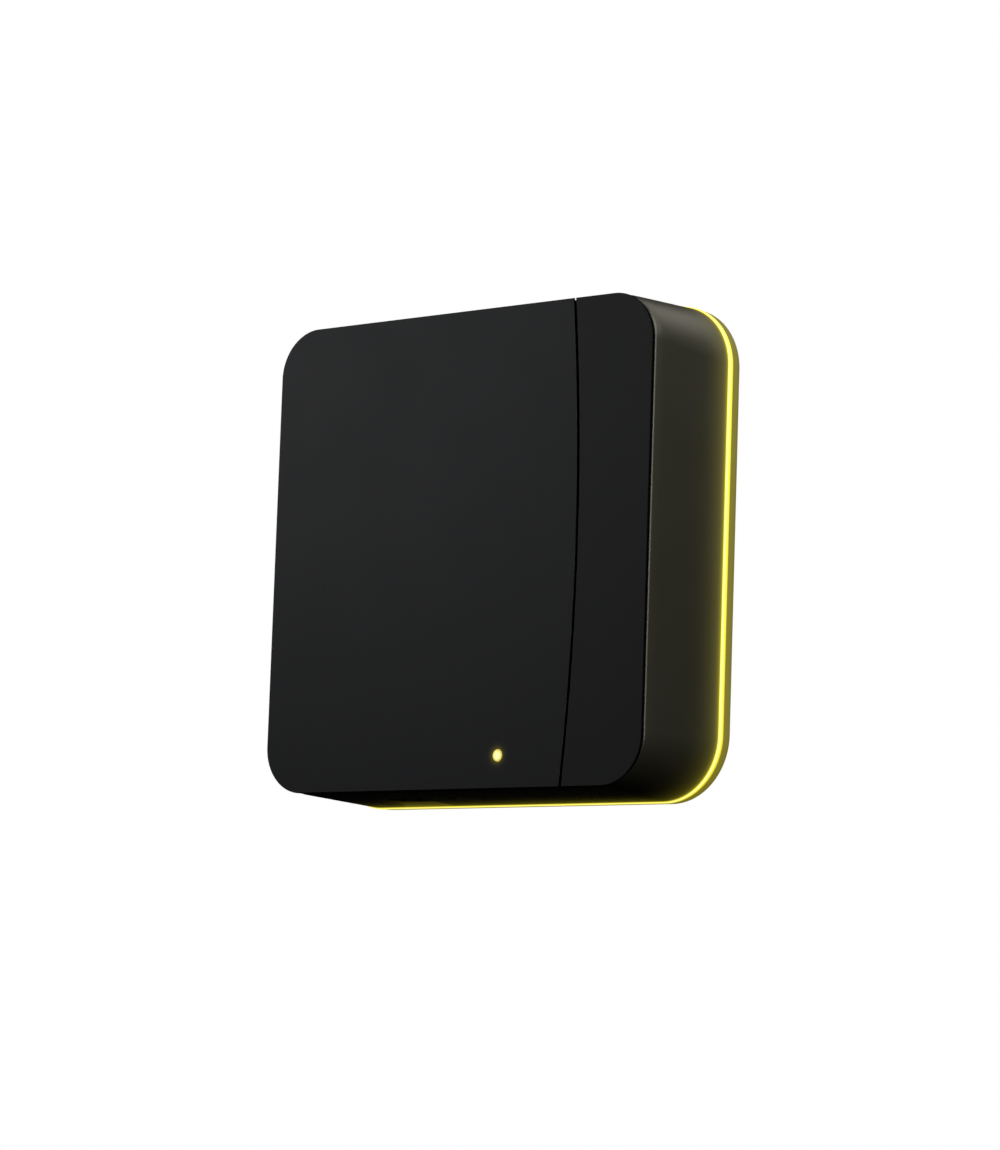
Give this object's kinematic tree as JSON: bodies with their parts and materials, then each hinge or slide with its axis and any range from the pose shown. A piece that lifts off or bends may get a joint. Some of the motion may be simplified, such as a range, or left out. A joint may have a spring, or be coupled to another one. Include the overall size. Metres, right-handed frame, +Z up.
{
  "type": "smart home hub",
  "caption": "Square wall-mounted smart home hub: main and narrow service front covers, flared housing, ring of light near the wall, status light, hidden buttons, wall bracket.",
  "frame": {"origin": "centre of the wall bracket's screw pattern, in the wall plane behind the hub", "axes": "+Z up, +Y into the wall, +X to the right as the hub is looked at from the room; the front face is at Y = -34.5 mm"},
  "size_m": [0.124, 0.0345, 0.124],
  "materials": {
    "main_cover_plastic": "fine satin moulded black plastic, slightly blue",
    "service_cover_plastic": "fine satin moulded black plastic, neutral",
    "housing_plastic": "satin moulded dark grey plastic, slightly warm",
    "back_plastic": "satin moulded dark grey plastic",
    "light_guide_acrylic": "diffusing acrylic, lit warm yellow",
    "status_pipe_acrylic": "clear acrylic light pipe, lit yellow",
    "foot_rubber": "soft solid rubber",
    "bracket_steel": "powder-coated pressed steel",
    "stud_steel": "turned steel",
    "screw_steel": "zinc-plated steel",
    "insert_brass": "knurled brass",
    "magnet_nickel": "nickel-plated magnet",
    "board_laminate": "green solder mask on glass-fibre laminate",
    "halo_board_laminate": "white solder mask on glass-fibre laminate",
    "lamp_package": "moulded lamp package with a yellow phosphor window",
    "chip_package": "moulded epoxy chip package",
    "shield_metal": "tin-plated pressed sheet",
    "spreader_aluminium": "mill-finish aluminium sheet",
    "thermal_pad": "soft silicone gap pad",
    "jack_shell": "plated steel shell",
    "contact_gold": "gold-plated contacts",
    "inlet_tongue_plastic": "moulded black contact tongue",
    "button_plastic": "satin grey moulded caps",
    "plunger_plastic": "moulded switch plunger",
    "switch_body": "moulded tactile switch body",
    "aerial_laminate": "thin printed aerial board",
    "lead_jacket": "thin coaxial jacket",
    "cell_steel": "stainless coin cell",
    "holder_plastic": "moulded cell holder",
    "coil_ferrite": "moulded ferrite power inductor",
    "capacitor_can": "aluminium can capacitor",
    "socket_plastic": "natural moulded ribbon socket",
    "ribbon_film": "white ribbon film"
  },
  "bodies": {
    "wall_bracket": {"wall_bracket": "bracket_steel", "hanging_studs": "stud_steel"},
    "hub": {"main_cover": "main_cover_plastic", "keeper_magnets": "magnet_nickel", "status_light_pipe": "status_pipe_acrylic", "housing_shell": "housing_plastic", "light_guide": "light_guide_acrylic", "back_cover": "back_plastic", "wall_feet": "foot_rubber", "housing_screws": "screw_steel", "housing_inserts": "insert_brass", "board_screws": "screw_steel", "spreader_screws": "screw_steel", "main_board": "board_laminate", "halo_board": "halo_board_laminate", "halo_leds": "lamp_package", "network_jack": "jack_shell", "network_contacts": "contact_gold", "power_inlet": "jack_shell", "inlet_tongue": "inlet_tongue_plastic", "pair_switch": "switch_body", "reset_switch": "switch_body", "status_led": "lamp_package", "shield_can": "shield_metal", "processor": "chip_package", "memory_chips": "chip_package", "chip_pad": "thermal_pad", "spreader_pad": "thermal_pad", "heat_spreader": "spreader_aluminium", "wifi_radio": "shield_metal", "wifi_aerial": "aerial_laminate", "wifi_lead": "lead_jacket", "mesh_radio": "shield_metal", "mesh_aerial": "aerial_laminate", "mesh_lead": "lead_jacket", "clock_cell": "cell_steel", "cell_holder": "holder_plastic", "power_coil": "coil_ferrite", "capacitors": "capacitor_can", "ribbon_sockets": "socket_plastic", "halo_ribbon": "ribbon_film"},
    "service_cover": {"service_cover": "service_cover_plastic", "cover_magnets": "magnet_nickel"},
    "pair_button": {"pair_button": "button_plastic", "pair_switch_plunger": "plunger_plastic"},
    "reset_button": {"reset_button": "button_plastic", "reset_switch_plunger": "plunger_plastic"}
  },
  "joints": [
    {"name": "hub_lift", "type": "slide", "parent": "wall_bracket", "child": "hub", "axis": [0, 0, 1], "range_m": [0, 0.008]},
    {"name": "service_cover_pull", "type": "slide", "parent": "hub", "child": "service_cover", "axis": [0, -1, 0], "range_m": [0, 0.03]},
    {"name": "pair_button_press", "type": "slide", "parent": "hub", "child": "pair_button", "axis": [0, 1, 0], "range_m": [0, 0.0005], "stiffness_N_per_m": 400, "springref_m": -0.002},
    {"name": "reset_button_press", "type": "slide", "parent": "hub", "child": "reset_button", "axis": [0, 1, 0], "range_m": [0, 0.0005], "stiffness_N_per_m": 400, "springref_m": -0.002}
  ]
}
